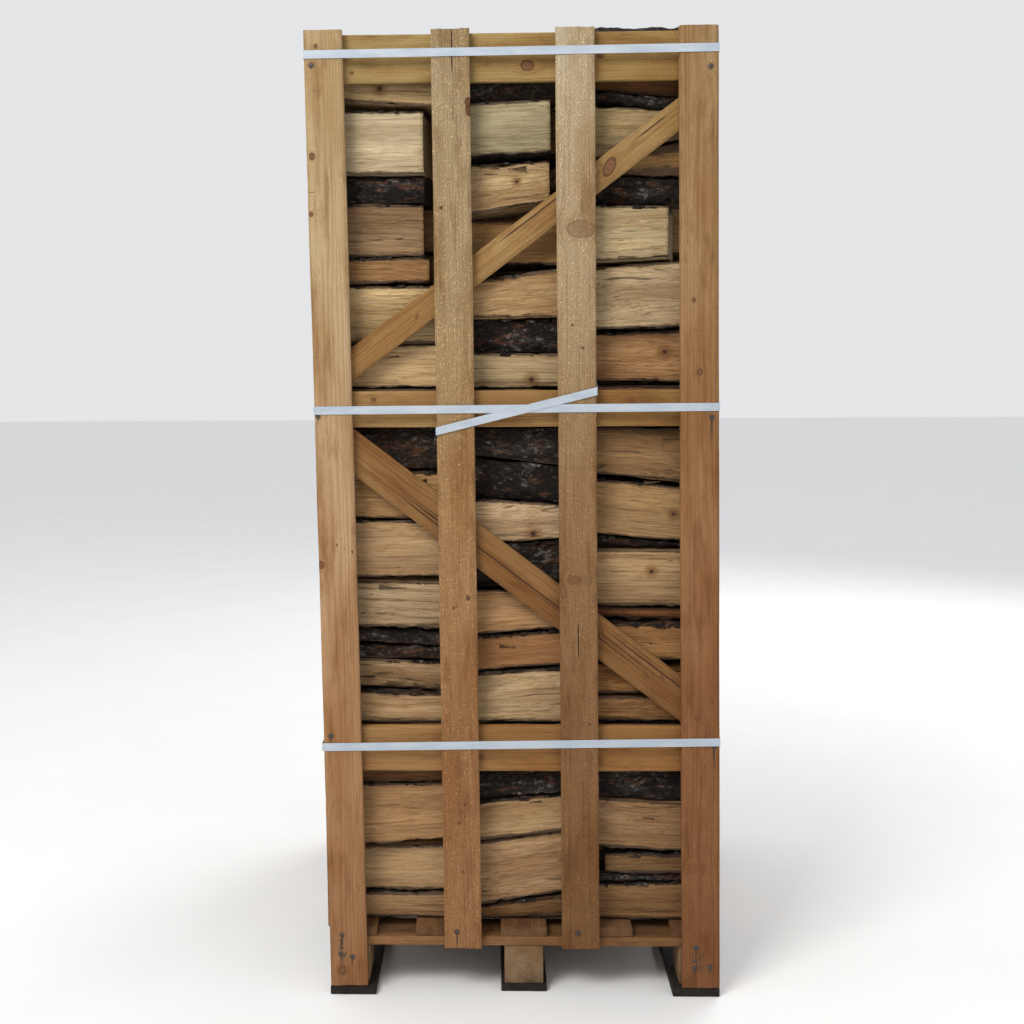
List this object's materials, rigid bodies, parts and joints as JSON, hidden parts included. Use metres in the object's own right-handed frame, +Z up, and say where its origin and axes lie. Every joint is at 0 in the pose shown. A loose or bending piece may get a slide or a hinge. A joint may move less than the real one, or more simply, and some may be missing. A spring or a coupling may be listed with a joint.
{
  "type": "firewood crate",
  "caption": "Tall slatted softwood crate on a small pallet, filled with split firewood stacked in columns and bound with flat straps.",
  "frame": {"origin": "middle of the bottom of the whole crate, on the ground under the pallet skids", "axes": "+Z up, front at -Y, +X to the right as seen from the front; the logs lie along X"},
  "size_m": [0.8254, 1.0036, 1.957],
  "materials": {
    "slat_wood": "rough sawn",
    "rail_wood": "rough sawn",
    "pallet_wood": "rough sawn",
    "skid_wood": "dirty sawn",
    "firewood": "split",
    "strap_plastic": "satin"
  },
  "bodies": {
    "root": {"back_lower_brace": "rail_wood", "back_lower_rail": "rail_wood", "back_middle_rail": "rail_wood", "back_slat_1": "slat_wood", "back_slat_2": "slat_wood", "back_slat_3": "slat_wood", "back_slat_4": "slat_wood", "back_top_rail": "rail_wood", "back_upper_brace": "rail_wood", "block_back_centre": "pallet_wood", "block_back_left": "pallet_wood", "block_back_right": "pallet_wood", "block_front_centre": "pallet_wood", "block_front_left": "pallet_wood", "block_front_right": "pallet_wood", "block_middle_centre": "pallet_wood", "block_middle_left": "pallet_wood", "block_middle_right": "pallet_wood", "cross_board_back": "pallet_wood", "cross_board_front": "pallet_wood", "cross_board_middle": "pallet_wood", "deck_board_1": "pallet_wood", "deck_board_2": "pallet_wood", "deck_board_3": "pallet_wood", "deck_board_4": "pallet_wood", "deck_board_5": "pallet_wood", "front_lower_brace": "rail_wood", "front_lower_rail": "rail_wood", "front_middle_rail": "rail_wood", "front_slat_1": "slat_wood", "front_slat_2": "slat_wood", "front_slat_3": "slat_wood", "front_slat_4": "slat_wood", "front_top_rail": "rail_wood", "front_upper_brace": "rail_wood", "left_lower_rail": "rail_wood", "left_middle_rail": "rail_wood", "left_slat_1": "slat_wood", "left_slat_2": "slat_wood", "left_slat_3": "slat_wood", "left_slat_4": "slat_wood", "left_top_rail": "rail_wood", "logs_left": "firewood", "logs_middle": "firewood", "logs_right": "firewood", "right_lower_rail": "rail_wood", "right_middle_rail": "rail_wood", "right_slat_1": "slat_wood", "right_slat_2": "slat_wood", "right_slat_3": "slat_wood", "right_slat_4": "slat_wood", "right_top_rail": "rail_wood", "skid_centre": "skid_wood", "skid_left": "skid_wood", "skid_right": "skid_wood", "strap_lower": "strap_plastic", "strap_middle": "strap_plastic", "strap_tie": "strap_plastic", "strap_top": "strap_plastic"}
  },
  "joints": []
}
